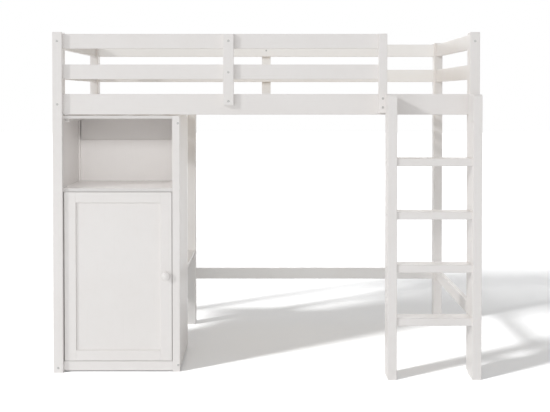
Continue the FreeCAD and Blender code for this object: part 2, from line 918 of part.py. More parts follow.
board(
    "cabinet_stile",
    (stileLeft, frontY + faceSetback, 0),
    (stileWide, faceThick, cabinetTop),
    boardRound,
)
board(
    "cabinet_side_right",
    (rightSideLeft, faceBack, rightSideLift),
    (rightSideThick, cabinetBackY - faceBack, cabinetTop - boardThick - rightSideLift),
    boardRound,
)
board(
    "cabinet_side_left",
    (leftSideOuter, endY, floorRailLow),
    (leftSideThick, cabinetBackY - endY, cabinetTop - floorRailLow),
    boardRound,
)
cabinetTopLow = cabinetTop - boardThick
cubbyFloor = cubbyShelfLow + cubbyShelfThick
bottomLow = plinthTop - boardThick
faceY = frontY + faceSetback
notchedBoard("cabinet_top", cabinetTopLow, boardThick, faceY, cabinetRight, backFrontY + backThick)
notchedBoard("cubby_shelf", cubbyShelfLow, cubbyShelfThick, faceY, rightSideLeft, backFrontY)
notchedBoard("cabinet_bottom", bottomLow, boardThick, faceBack, rightSideLeft, backFrontY)
board(
    "cabinet_plinth",
    (cabinetLeft, frontY + faceSetback, plinthLow),
    (stileLeft - cabinetLeft, faceThick, plinthTop - plinthLow),
    boardRound,
)
board(
    "cabinet_back",
    (boardLeft, backFrontY, bottomLow),
    (rightSideLeft - boardLeft, backThick, cabinetTopLow - bottomLow),
    boardRound,
)
backRailLeft = boardLeft + battenWide + backRailGap
board(
    "cabinet_back_rail",
    (backRailLeft, backFrontY - backRailThick, backRailLow),
    (rightSideLeft - backRailLeft, backRailThick, cabinetTopLow - backRailLow),
    boardRound,
)

# The corner batten stands in the cubby, the top cleat runs forward from it under the cabinet's top,
# and the other two cleats lie under the rear shelf.
cleatPast = 12
cleatLow = shelfLow - cleatHigh
battens = []
for name, corner, extent in (
    (
        "corner_batten",
        (boardLeft, backFrontY - battenDeep, cubbyFloor),
        (battenWide, battenDeep, cabinetTopLow - cubbyFloor),
    ),
    (
        "top_cleat",
        (boardLeft, endY + 1, cabinetTopLow - topCleatHigh),
        (topCleatWide, backFrontY - battenDeep - endY - 1, topCleatHigh),
    ),
    (
        "front_cleat",
        (leftSideOuter, frontCleatY, cleatLow),
        (cabinetRight - leftSideOuter, cleatThick, cleatHigh),
    ),
    (
        "rear_cleat",
        (leftSideOuter - cleatPast, rearCleatY, cleatLow),
        (cabinetRight - leftSideOuter + cleatPast, cleatThick, cleatHigh),
    ),
):
    battens.append(drilled(name, roundedBoard(name, corner, extent, boardRound)))
group("cabinet_battens", battens)
board(
    "rear_shelf",
    (cabinetLeft, cabinetBackY, shelfLow),
    (cabinetRight - cabinetLeft, rearPostY - cabinetBackY, boardThick),
    boardRound,
)


def turnedBody(name, profile, start, direction):
    # A body of revolution. The profile lists radius and distance along the axis.
    body = doc.addObject("PartDesign::Body", name + "_body")
    sketch = sketchOn(body, name + "_profile", "XZ_Plane")
    outline(sketch, profile)
    revolution = body.newObject("PartDesign::Revolution", name + "_turned")
    revolution.Profile = sketch
    revolution.ReferenceAxis = (sketch, ["V_Axis"])
    revolution.Angle = 360
    body.Placement = turned(start, direction)
    return body


# Clothes rail: a tube between two round sockets
socketFlange = 3
socketRim = 9
socketDeep = 12
socketWall = 2
tubePlay = 0.1
tubeY = frontY + tubeSetback
tubeInner = tubeRadius - tubeWall
railStart = boardLeft + socketFlange + tubePlay
railEnd = rightSideLeft - socketFlange - tubePlay
tube = turnedBody(
    "clothes_rail",
    [
        (tubeInner, 0),
        (tubeRadius, 0),
        (tubeRadius, railEnd - railStart),
        (tubeInner, railEnd - railStart),
    ],
    point(railStart, tubeY, tubeHeight),
    axisX,
)
node("clothes_rail", tube)
sockets = []
for side, startX, direction in (("left", boardLeft, axisX), ("right", rightSideLeft, axisX * -1)):
    bore = tubeRadius + tubePlay
    sockets.append(
        turnedBody(
            "socket_" + side,
            [
                (0, 0),
                (tubeRadius + socketRim, 0),
                (tubeRadius + socketRim, socketFlange - 1),
                (bore + socketWall, socketFlange),
                (bore + socketWall, socketDeep),
                (bore, socketDeep),
                (bore, socketFlange),
                (0, socketFlange),
            ],
            point(startX, tubeY, tubeHeight),
            direction,
        )
    )
group("clothes_rail_sockets", sockets)


# Door: two grooved stiles, two grooved rails with stub tenons, and a thin panel


def grooveTool(name, corner, extent):
    tool = block(name + "_groove", corner, extent)
    cuts.setdefault(name, []).append(tool)


grooveWide = doorPanelThick + grooveFit * 2
for name, left, grooveX in (
    ("door_stile_hinge", doorLeft, panelLeft - doorGroove - grooveFit),
    ("door_stile_latch", panelRight, panelRight - 1),
):
    grooveTool(
        name,
        (grooveX, grooveY - grooveFit, doorLow - 1),
        (doorGroove + grooveFit + 1, grooveWide, doorTop - doorLow + 2),
    )
    board(name, (left, doorY, doorLow), (doorStileWide, faceThick, doorTop - doorLow), boardRound)
for name, low, grooveZ in (
    ("door_rail_bottom", doorLow, panelLow - doorGroove - grooveFit),
    ("door_rail_top", panelTop, panelTop - 1),
):
    grooveTool(
        name,
        (panelLeft - doorGroove - 1, grooveY - grooveFit, grooveZ),
        (panelRight - panelLeft + doorGroove * 2 + 2, grooveWide, doorGroove + grooveFit + 1),
    )
    railExtent = (panelRight - panelLeft, faceThick, doorRailHigh)
    rail = roundedBoard(name, (panelLeft, doorY, low), railExtent, boardRound)
    tenon = block(
        name + "_tenon",
        (panelLeft - doorGroove, grooveY, low),
        (panelRight - panelLeft + doorGroove * 2, doorPanelThick, doorRailHigh),
    )
    joined = doc.addObject("Part::MultiFuse", name + "_joined")
    joined.Shapes = [rail, tenon]
    joined.Refine = True
    node(name, joined)
panelRound = 0.5
board(
    "door_panel",
    (panelLeft - doorGroove, grooveY, panelLow - doorGroove),
    (
        panelRight - panelLeft + doorGroove * 2,
        doorPanelThick,
        panelTop - panelLow + doorGroove * 2,
    ),
    panelRound,
)


def knob():
    # The profile is a foot, a hollow neck and a round head, drawn as radius and height over the door.
    body = doc.addObject("PartDesign::Body", "door_knob_body")
    sketch = sketchOn(body, "door_knob_profile", "XZ_Plane")
    radius = float(knobRadius)
    height = float(knobLong)
    rimRadius = radius * 0.72
    crownHigh = height * 0.12
    # The crown is a cap of a ball whose centre lies on the axis.
    ballRadius = (rimRadius ** 2 + crownHigh ** 2) / (crownHigh * 2)
    halfAngle = math.asin(rimRadius / ballRadius) / 2
    foot = FreeCAD.Vector(radius * 0.53, 0, 0)
    waist = FreeCAD.Vector(radius * 0.42, height * 0.2, 0)
    neck = FreeCAD.Vector(radius * 0.6, height * 0.42, 0)
    girth = FreeCAD.Vector(radius, height * 0.68, 0)
    rim = FreeCAD.Vector(rimRadius, height - crownHigh, 0)
    crownAcross = ballRadius * math.sin(halfAngle)
    crown = FreeCAD.Vector(crownAcross, height - ballRadius * (1 - math.cos(halfAngle)), 0)
    tip = FreeCAD.Vector(0, height, 0)
    base = FreeCAD.Vector(0, 0, 0)
    sketch.addGeometry(Part.LineSegment(base, foot), False)
    sketch.addGeometry(Part.Arc(foot, waist, neck), False)
    sketch.addGeometry(Part.Arc(neck, girth, rim), False)
    sketch.addGeometry(Part.Arc(rim, crown, tip), False)
    sketch.addGeometry(Part.LineSegment(tip, base), False)
    revolution = body.newObject("PartDesign::Revolution", "door_knob_turned")
    revolution.Profile = sketch
    revolution.ReferenceAxis = (sketch, ["V_Axis"])
    revolution.Angle = 360
    body.Placement = turned(point(knobX, doorY, knobHeight), axisY * -1)
    node("door_knob", body)


knob()

# Pivots: a pin with a collar in the gap above and below the door, and a sleeve round each pin
pivotPins = []
pivotSleeves = []
softEdge = 0.5
for place, boardFace, doorEnd, direction in (
    ("top", cubbyShelfLow, doorTop, axisZ * -1),
    ("bottom", plinthTop, doorLow, axisZ),
):
    pinEnd = pinDeep + collarThick + pinReach
    pinProfile = [
        (0, 0),
        (pinRadius, 0),
        (pinRadius, pinDeep),
        (collarRadius, pinDeep),
        (collarRadius, pinDeep + collarThick),
        (pinRadius, pinDeep + collarThick),
        (pinRadius, pinEnd - softEdge),
        (pinRadius - softEdge, pinEnd),
        (0, pinEnd),
    ]
    foot = point(pivotX, pivotY, boardFace) - direction * float(pinDeep)
    pivotPins.append(turnedBody("pivot_pin_" + place, pinProfile, foot, direction))
    sleeveProfile = [
        (pinRadius + pinFit, 0),
        (sleeveRadius, 0),
        (sleeveRadius, sleeveLong),
        (pinRadius + pinFit, sleeveLong),
    ]
    mouth = point(pivotX, pivotY, doorEnd)
    pivotSleeves.append(turnedBody("pivot_sleeve_" + place, sleeveProfile, mouth, direction))
group("pivot_pins", pivotPins)
group("pivot_sleeves", pivotSleeves)

# Magnetic catch under the cubby shelf, and the strike plate on the door's back
catchGap = 0.6
catchDeep = 18
strikeInset = 2
strikeRound = 0.4
board(
    "strike_plate",
    (strikeX - catchWide / 2 + strikeInset, faceBack, strikeLow),
    (catchWide - strikeInset * 2, strikeThick, catchHigh),
    strikeRound,
)
board(
    "magnetic_catch",
    (strikeX - catchWide / 2, faceBack + strikeThick + catchGap, cubbyShelfLow - catchHigh - 1),
    (catchWide, catchDeep, catchHigh + 1),
    boardRound,
)


# Fastener shapes, each made once and placed at its sites


def revolved(profile):
    # The profile lists radius and distance along the axis.
    corners = [FreeCAD.Vector(across, 0, along) for across, along in profile + profile[:1]]
    return Part.Face(Part.makePolygon(corners)).revolve(FreeCAD.Vector(0, 0, 0), axisZ, 360)


def boltShape(length):
    radius = float(boltRadius)
    head = float(headRadius)
    top = float(headRecess)
    seat = top + float(headHigh)
    bevel = 0.6
    profile = [
        (0, top),
        (head - bevel, top),
        (head, top + bevel),
        (head, seat),
        (radius, seat),
        (radius, length - bevel),
        (radius - bevel, length),
        (0, length),
    ]
    socketFlat = 2.5
    socketCorner = socketFlat / math.cos(math.pi / 6)
    hexagon = []
    for turn in range(7):
        angle = turn * math.pi / 3
        across = socketCorner * math.cos(angle)
        hexagon.append(FreeCAD.Vector(across, socketCorner * math.sin(angle), top - 1))
    socketDepth = 2.5
    socket = Part.Face(Part.makePolygon(hexagon)).extrude(axisZ * (socketDepth + 1))
    return revolved(profile).cut(socket)


def screwShape(shape, length):
    radius = shape["radius"]
    head = shape["headRadius"]
    sunk = 0.15
    tip = radius * 1.5
    tipRadius = 0.3
    profile = [
        (0, sunk),
        (head - sunk, sunk),
        (radius, shape["headHigh"]),
        (radius, length - tip),
        (tipRadius, length),
        (0, length),
    ]
    solid = revolved(profile)
    reach = head * 0.62
    slot = shape["slot"]
    slotDeep = shape["recess"] / 2
    for wide, deep in ((reach * 2, slot), (slot, reach * 2)):
        corner = FreeCAD.Vector(-wide / 2, -deep / 2, sunk - slotDeep)
        solid = solid.cut(Part.makeBox(wide, deep, slotDeep * 2, corner))
    return solid


def crossNutShape(start, axis, direction):
    # A short cylinder along axis, bored across for the bolt that runs along direction
    radius = float(nutRadius)
    length = float(nutLong)
    dowel = Part.makeCylinder(radius, length, start - axis * (length / 2), axis)
    boreStart = start - direction * (radius + 1)
    bore = Part.makeCylinder(float(boltRadius + pinFit), radius * 2 + 2, boreStart, direction)
    return dowel.cut(bore)


def insertNutShape(start, direction, length):
    sleeve = Part.makeCylinder(float(nutRadius), length, start, direction)
    bore = Part.makeCylinder(float(boltRadius + pinFit), length + 2, start - direction, direction)
    return sleeve.cut(bore)


def placedCopies(master, sites):
    copies = []
    for start, direction in sites:
        copy = master.copy()
        copy.Placement = turned(start, direction)
        copies.append(copy)
    return copies


def fasteners(name, solids):
    feature = doc.addObject("Part::Feature", name + "_set")
    feature.Shape = Part.makeCompound(solids)
    feature.Label = name
    nodes[name] = feature


def placedByLength(sites, make):
    solids = []
    for length in sorted({site[2] for site in sites}):
        chosen = [(start, direction) for start, direction, reach in sites if reach == length]
        solids += placedCopies(make(length), chosen)
    return solids


fasteners("frame_bolts", placedByLength(boltSites, boltShape))
nuts = [crossNutShape(*site) for site in crossNutSites] + [insertNutShape(*site) for site in insertNutSites]
fasteners("bolt_nuts", nuts)
fasteners("wood_screws", placedByLength(woodScrewSites, lambda length: screwShape(woodScrew, length)))


def knobScrewShape():
    # A pan head on the door's back and a shank that ends inside the knob
    radius = knobScrewRadius
    soft = 0.8
    profile = [
        (0, -knobScrewHead),
        (radius * 2 - soft, -knobScrewHead),
        (radius * 2, soft - knobScrewHead),
        (radius * 2, 0),
        (radius, 0),
        (radius, knobScrewLong),
        (0, knobScrewLong),
    ]
    slotWide = 0.9
    slotCorner = FreeCAD.Vector(-radius * 1.5, -slotWide / 2, -knobScrewHead - 1)
    return revolved(profile).cut(Part.makeBox(radius * 3, slotWide, 2, slotCorner))


doorScrews = placedByLength(doorScrewSites, lambda length: screwShape(smallScrew, length))
doorScrews += placedCopies(knobScrewShape(), [(point(knobX, faceBack, knobHeight), axisY * -1)])
fasteners("door_screws", doorScrews)

# Every object is tested before anything is written.
doc.recompute()
for item in doc.Objects:
    if "Invalid" in item.State or "Error" in item.State:
        raise RuntimeError("%s failed: %s" % (item.Name, item.State))
for name, item in nodes.items():
    if item.Shape.isNull() or not item.Shape.isValid():
        raise RuntimeError(name + " has no valid shape")
os.makedirs("parts", exist_ok=True)
for name, item in nodes.items():
    item.Shape.exportStep("parts/%s.step" % name)
print(len(nodes), "nodes,", sum(len(item.Shape.Solids) for item in nodes.values()), "solids")
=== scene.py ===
import math

import bmesh
import bpy
from mathutils import Euler, Matrix, Vector


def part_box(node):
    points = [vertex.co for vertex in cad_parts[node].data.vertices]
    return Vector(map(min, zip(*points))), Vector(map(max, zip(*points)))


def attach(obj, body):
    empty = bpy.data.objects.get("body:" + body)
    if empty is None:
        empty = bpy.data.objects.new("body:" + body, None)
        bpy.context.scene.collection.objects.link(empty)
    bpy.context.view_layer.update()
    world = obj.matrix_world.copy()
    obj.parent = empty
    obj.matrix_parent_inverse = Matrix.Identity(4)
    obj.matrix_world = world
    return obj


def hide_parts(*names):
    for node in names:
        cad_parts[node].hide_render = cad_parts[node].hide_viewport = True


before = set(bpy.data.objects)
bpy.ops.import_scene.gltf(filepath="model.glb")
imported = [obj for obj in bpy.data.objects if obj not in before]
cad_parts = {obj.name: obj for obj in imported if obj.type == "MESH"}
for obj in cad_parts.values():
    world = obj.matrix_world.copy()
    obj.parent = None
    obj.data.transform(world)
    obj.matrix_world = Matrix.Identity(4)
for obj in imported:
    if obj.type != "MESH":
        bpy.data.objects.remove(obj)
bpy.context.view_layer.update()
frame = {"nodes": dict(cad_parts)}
nodes = frame["nodes"]
scene = bpy.context.scene
print("frame loaded:", len(nodes), "pieces of the bed")


def chosen(sockets, key):
    # a node can hold several sockets of one name, of which one is in use
    if isinstance(key, int):
        return sockets[key]
    return [item for item in sockets if item.name == key and item.enabled][0]


def addNode(tree, kind, settings, sockets):
    # the settings come first, because some of them change which sockets are in use
    made = tree.nodes.new(kind)
    for name, value in (settings or {}).items():
        setattr(made, name, value)
    for name, value in (sockets or {}).items():
        socket = chosen(made.inputs, name)
        if isinstance(value, bpy.types.NodeSocket):
            tree.links.new(value, socket)
        else:
            socket.default_value = value
    return made


# Shader maths: a wrapped socket that can be used in plain sums
class Signal:
    def __init__(self, finish, socket):
        self.finish = finish
        self.socket = socket

    def sum(self, operation, *others):
        sockets = {index: item for index, item in enumerate((self,) + others)}
        return self.finish.node("ShaderNodeMath", {"operation": operation}, sockets)

    def __add__(self, other):
        return self.sum("ADD", other)

    def __sub__(self, other):
        return self.sum("SUBTRACT", other)

    def __mul__(self, other):
        return self.sum("MULTIPLY", other)

    def __radd__(self, other):
        return self + other

    def __rmul__(self, other):
        return self * other

    def __rsub__(self, other):
        return self.finish.node("ShaderNodeMath", {"operation": "SUBTRACT"}, {0: other, 1: self})

    def least(self, other):
        return self.sum("MINIMUM", other)

    def most(self, other):
        return self.sum("MAXIMUM", other)

    def size(self):
        return self.sum("ABSOLUTE")

    def between(self, low, high):
        # 0 at low, 1 at high, held at both ends
        values = {"Value": self, "From Min": low, "From Max": high}
        return self.finish.node("ShaderNodeMapRange", {"clamp": True}, values)


class Finish:
    def __init__(self, name, holder=None):
        self.material = holder or bpy.data.materials.new(name)
        self.material.use_nodes = True
        self.tree = self.material.node_tree
        self.tree.nodes.clear()

    def node(self, kind, settings=None, sockets=None, output=0):
        sockets = sockets or {}
        plain = {key: item.socket if isinstance(item, Signal) else item for key, item in sockets.items()}
        made = addNode(self.tree, kind, settings, plain)
        if made.outputs:
            return Signal(self, chosen(made.outputs, output))

    def place(self):
        return self.node("ShaderNodeTexCoord", output="Object")

    def stretched(self, scale, shift=(0, 0, 0)):
        return self.node("ShaderNodeMapping", {}, {"Vector": self.place(), "Scale": scale, "Location": shift})

    def noise(self, place, scale, detail=2.0, roughness=0.5, distortion=0.0):
        values = {"Vector": place, "Scale": scale, "Detail": detail, "Roughness": roughness}
        values["Distortion"] = distortion
        return self.node("ShaderNodeTexNoise", {}, values)

    def blend(self, factor, first, second):
        values = {"Factor": factor, "A": first, "B": second}
        return self.node("ShaderNodeMix", {"data_type": "RGBA"}, values, "Result")

    def bump(self, height, strength, distance):
        values = {"Height": height, "Strength": strength, "Distance": distance}
        return self.node("ShaderNodeBump", {}, values, "Normal")

    def close(self, **sockets):
        # the Principled shader with these sockets set, and the material that it ends
        names = {
            "baseColor": "Base Color",
            "roughness": "Roughness",
            "metallic": "Metallic",
            "normal": "Normal",
        }
        values = {names[name]: value for name, value in sockets.items()}
        surface = self.node("ShaderNodeBsdfPrincipled", {}, values)
        self.node("ShaderNodeOutputMaterial", {}, {"Surface": surface})
        return self.material

    # 1 for rays that see the surface straight, in a mirror or through glass
    def seenDirectly(self):
        names = ("Is Camera Ray", "Is Glossy Ray", "Is Transmission Ray")
        rays = [self.node("ShaderNodeLightPath", output=name) for name in names]
        return rays[0].most(rays[1]).most(rays[2])

    # distance from the nearest edge of a board that fills the box from low to high
    def edgeDistance(self, low, high):
        place = self.place()
        depths = []
        for axis in range(3):
            along = self.node("ShaderNodeSeparateXYZ", {}, {"Vector": place}, axis)
            middle = (low[axis] + high[axis]) / 2
            half = (high[axis] - low[axis]) / 2
            depths.append(half - (along - middle).size())
        first, second, third = depths
        return first.least(second).most(first.most(second).least(third))


def tone(red, green, blue):
    # an sRGB colour, 0 to 255, as the linear colour that sockets take
    def linear(level):
        level /= 255
        return level / 12.92 if level < 0.04045 else ((level + 0.055) / 1.055) ** 2.4

    return (linear(red), linear(green), linear(blue), 1.0)


# White satin paint on sanded pine boards: the grain still shows a little through it.
paintLook = {
    "coat": tone(240, 237, 235),  # where the paint lies thick
    "thin": tone(229, 224, 219),  # where the wood shows through
    "seedShift": (1.37, 0.71, 2.13),
    "grainScale": 95,
    "grainStretch": 0.045,
    "fibreScale": 475,
    "cloudScale": 3.2,
    "mottleScale": 38,
    "skinScale": 900,
    "cloudRange": (0.42, 0.75),
    "poreRange": (0.60, 0.78),
    "mottleRange": (0.5, 0.8),
    "cloudThin": 0.22,
    "poreThin": 0.26,
    "mottleThin": 0.10,
    "edgeThin": 0.14,
    "edgeWidth": 0.0045,
    "edgeWander": 0.004,
    "roughness": 0.42,
    "mottleRough": 0.16,
    "fibreRough": 0.10,
    "edgeRough": 0.10,
    "grainBump": 0.24,
    "fibreBump": 0.12,
    "skinBump": 0.05,
    "bumpStrength": 0.55,
    "bumpDistance": 0.0006,
}


def grainScaleFor(axis, stretch):
    return tuple(stretch if index == axis else 1.0 for index in range(3))


def shifted(seed, steps):
    # how far a seed moves a pattern along each axis
    return tuple(seed * step for step in steps)


def whitePaint(name, grainAxis, box=None, seed=0):
    look = paintLook
    finish = Finish(name)
    shift = shifted(seed, look["seedShift"])
    along = finish.stretched(grainScaleFor(grainAxis, look["grainStretch"]), shift)
    plain = finish.stretched((1, 1, 1), shift)
    growth = finish.noise(along, look["grainScale"], detail=5, roughness=0.62, distortion=0.4)
    fibres = finish.noise(along, look["fibreScale"], detail=3, roughness=0.6)
    clouds = finish.noise(plain, look["cloudScale"], detail=3, roughness=0.55)
    mottle = finish.noise(plain, look["mottleScale"], detail=3, roughness=0.6)
    skin = finish.noise(plain, look["skinScale"], detail=2, roughness=0.5)
    pores = growth.between(*look["poreRange"])
    thinness = clouds.between(*look["cloudRange"]) * look["cloudThin"] + pores * look["poreThin"]
    thinness = thinness + mottle.between(*look["mottleRange"]) * look["mottleThin"]
    roughness = look["roughness"] + (mottle - 0.5) * look["mottleRough"]
    roughness = roughness + (fibres - 0.5) * look["fibreRough"]
    if box:
        worn = finish.edgeDistance(*box) + (mottle - 0.5) * look["edgeWander"]
        worn = 1 - worn.between(0.0, look["edgeWidth"])
        thinness = thinness + worn * look["edgeThin"]
        roughness = roughness - worn * look["edgeRough"]
    height = growth * look["grainBump"] + fibres * look["fibreBump"] + skin * look["skinBump"]
    colour = finish.blend(thinness.least(1.0), look["coat"], look["thin"])
    normal = finish.bump(height, look["bumpStrength"], look["bumpDistance"])
    return finish.close(baseColor=colour, roughness=roughness, normal=normal)


def dress(name, material):
    item = nodes[name]
    if not item.data.materials:
        item.data.materials.append(material)
    for place in item.material_slots:
        place.material = material


# Which way the grain of each painted piece runs: 0 along the bed, 1 across it, 2 upright
paintedPieces = {
    "cabinet_back": 2,
    "cabinet_back_rail": 0,
    "cabinet_battens": 0,
    "cabinet_bottom": 0,
    "cabinet_plinth": 0,
    "cabinet_side_left": 2,
    "cabinet_side_right": 2,
    "cabinet_stile": 2,
    "cabinet_top": 0,
    "cubby_shelf": 0,
    "door_knob": 1,
    "door_panel": 2,
    "door_rail_bottom": 0,
    "door_rail_top": 0,
    "door_stile_hinge": 2,
    "door_stile_latch": 2,
    "end_rail_left": 1,
    "end_rail_right": 1,
    "entry_upright": 2,
    "floor_rail_left": 1,
    "front_upright": 2,
    "guard_middle_front": 0,
    "guard_middle_left": 1,
    "guard_middle_rear": 0,
    "guard_middle_right": 1,
    "guard_top_front": 0,
    "guard_top_left": 1,
    "guard_top_rear": 0,
    "guard_top_right": 1,
    "ladder_rung_1": 0,
    "ladder_rung_2": 0,
    "ladder_rung_3": 0,
    "ladder_rung_4": 0,
    "ladder_spacer": 0,
    "ladder_stringer_left": 2,
    "ladder_stringer_right": 2,
    "lower_rail_rear": 0,
    "lower_rail_right": 1,
    "post_front_left": 2,
    "post_front_right": 2,
    "post_rear_left": 2,
    "post_rear_middle": 2,
    "post_rear_right": 2,
    "rear_shelf": 0,
    "rear_upright": 2,
    "side_rail_front": 0,
    "side_rail_rear": 0,
}
for seed, (name, axis) in enumerate(paintedPieces.items()):
    # four battens and a round knob have no edges along their box
    edges = None if name in ("cabinet_battens", "door_knob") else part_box(name)
    dress(name, whitePaint("whitePaint_" + name, axis, edges, seed))
print("painted boards:", len(paintedPieces))


# Bare planed pine of the slats and their ledgers
pineLook = {
    "light": tone(231, 211, 178),
    "dark": tone(211, 182, 140),
    "knot": tone(136, 96, 62),
    "seedShift": (0.9, 1.7, 0.4),
    "ringScale": 26,
    "ringStretch": 0.05,
    "ringCount": 9.0,
    "fibreScale": 420,
    "knotScale": 5,
    "knotCore": 0.035,
    "knotRim": 0.075,
    "knotDark": 0.8,
    "fibreRange": (0.35, 0.75),
    "ringDark": 0.5,
    "fibreDark": 0.3,
    "ledgerDark": 0.125,
    "paler": 0.06,
    "roughness": 0.6,
    "fibreRough": 0.2,
    "ringBump": 0.3,
    "fibreBump": 0.5,
    "bumpStrength": 0.5,
    "bumpDistance": 0.0005,
}


def barePine(name, grainAxis, seed=0, darker=0.0):
    look = pineLook
    finish = Finish(name)
    shift = shifted(seed, look["seedShift"])
    along = finish.stretched(grainScaleFor(grainAxis, look["ringStretch"]), shift)
    rings = finish.noise(along, look["ringScale"], detail=2, roughness=0.45, distortion=1.1)
    bands = (rings * look["ringCount"]).sum("PINGPONG", 0.5) * 2.0
    fibres = finish.noise(along, look["fibreScale"], detail=3, roughness=0.6)
    spaced = finish.stretched((look["knotScale"],) * 3, shift)
    knots = finish.node("ShaderNodeTexVoronoi", {}, {"Vector": spaced, "Scale": 1.0})
    knotSpot = 1 - knots.between(look["knotCore"], look["knotRim"])
    grain = bands * look["ringDark"] + fibres.between(*look["fibreRange"]) * look["fibreDark"]
    grain = grain + darker - look["paler"]
    colour = finish.blend(grain.most(0.0), look["light"], look["dark"])
    colour = finish.blend(knotSpot * look["knotDark"], colour, look["knot"])
    height = bands * look["ringBump"] + fibres * look["fibreBump"]
    roughness = look["roughness"] + (fibres - 0.5) * look["fibreRough"]
    normal = finish.bump(height, look["bumpStrength"], look["bumpDistance"])
    return finish.close(baseColor=colour, roughness=roughness, normal=normal)


dress("slat_ledgers", barePine("pine_ledgers", 0, 5, pineLook["ledgerDark"]))


# Zinc-plated steel of bolts, nuts, screws, pivots and the strike plate
zincLook = {
    "clean": tone(212, 212, 210),
    "dull": tone(174, 174, 171),
    "seedShift": (1, 0.3, 0.7),
    "patchScale": 260,
    "fineScale": 2600,
    "patchRange": (0.35, 0.7),
    "roughness": 0.38,
    "patchRough": 0.25,
    "patchBump": 0.5,
    "bumpStrength": 0.25,
    "bumpDistance": 0.0001,
}


def zincSteel(name, seed=0):
    look = zincLook
    finish = Finish(name)
    shift = shifted(seed, look["seedShift"])
    patches = finish.noise(finish.stretched((1, 1, 1), shift), look["patchScale"], detail=3, roughness=0.6)
    fine = finish.noise(finish.stretched((1, 1, 1), shift), look["fineScale"], detail=2, roughness=0.5)
    colour = finish.blend(patches.between(*look["patchRange"]), look["clean"], look["dull"])
    roughness = look["roughness"] + (patches - 0.5) * look["patchRough"]
    normal = finish.bump(fine + patches * look["patchBump"], look["bumpStrength"], look["bumpDistance"])
    return finish.close(baseColor=colour, roughness=roughness, metallic=1.0, normal=normal)


for seed, name in enumerate(("door_screws", "pivot_pins", "pivot_sleeves", "strike_plate")):
    dress(name, zincSteel("zincSteel_" + name, seed))


# Chromed tube for the hangers
chromeLook = {
    "clean": tone(218, 219, 221),
    "hazy": tone(205, 206, 209),
    "seedShift": (1, 0, 0),
    "drawnScale": 1500,
    "drawnStretch": 0.02,
    "hazeScale": 40,
    "hazeRange": (0.4, 0.8),
    "roughness": 0.08,
    "hazeRough": 0.14,
    "bumpStrength": 0.08,
    "bumpDistance": 0.0001,
}


def chromeTube(name, seed=0):
    look = chromeLook
    finish = Finish(name)
    shift = shifted(seed, look["seedShift"])
    along = finish.stretched(grainScaleFor(0, look["drawnStretch"]), shift)
    drawn = finish.noise(along, look["drawnScale"], detail=2, roughness=0.5)
    haze = finish.noise(finish.stretched((1, 1, 1), shift), look["hazeScale"], detail=3, roughness=0.6)
    roughness = look["roughness"] + haze.between(*look["hazeRange"]) * look["hazeRough"]
    colour = finish.blend(haze, look["clean"], look["hazy"])
    normal = finish.bump(drawn, look["bumpStrength"], look["bumpDistance"])
    return finish.close(baseColor=colour, roughness=roughness, metallic=1.0, normal=normal)


dress("clothes_rail", chromeTube("chromeTube_rail"))
dress("clothes_rail_sockets", chromeTube("chromeTube_sockets", 3))


# Matte plastic of the magnetic catch
plasticLook = {
    "pale": tone(228, 227, 222),
    "shaded": tone(218, 216, 210),
    "grainyScale": 1400,
    "hazeScale": 60,
    "roughness": 0.5,
    "grainyRough": 0.2,
    "bumpStrength": 0.3,
    "bumpDistance": 0.0002,
}


def catchPlastic(name):
    look = plasticLook
    finish = Finish(name)
    grainy = finish.noise(finish.place(), look["grainyScale"], detail=2, roughness=0.5)
    haze = finish.noise(finish.place(), look["hazeScale"], detail=2, roughness=0.5)
    colour = finish.blend(haze, look["pale"], look["shaded"])
    roughness = look["roughness"] + (grainy - 0.5) * look["grainyRough"]
    normal = finish.bump(grainy, look["bumpStrength"], look["bumpDistance"])
    return finish.close(baseColor=colour, roughness=roughness, normal=normal)


dress("magnetic_catch", catchPlastic("catchPlastic"))
print("fittings finished")


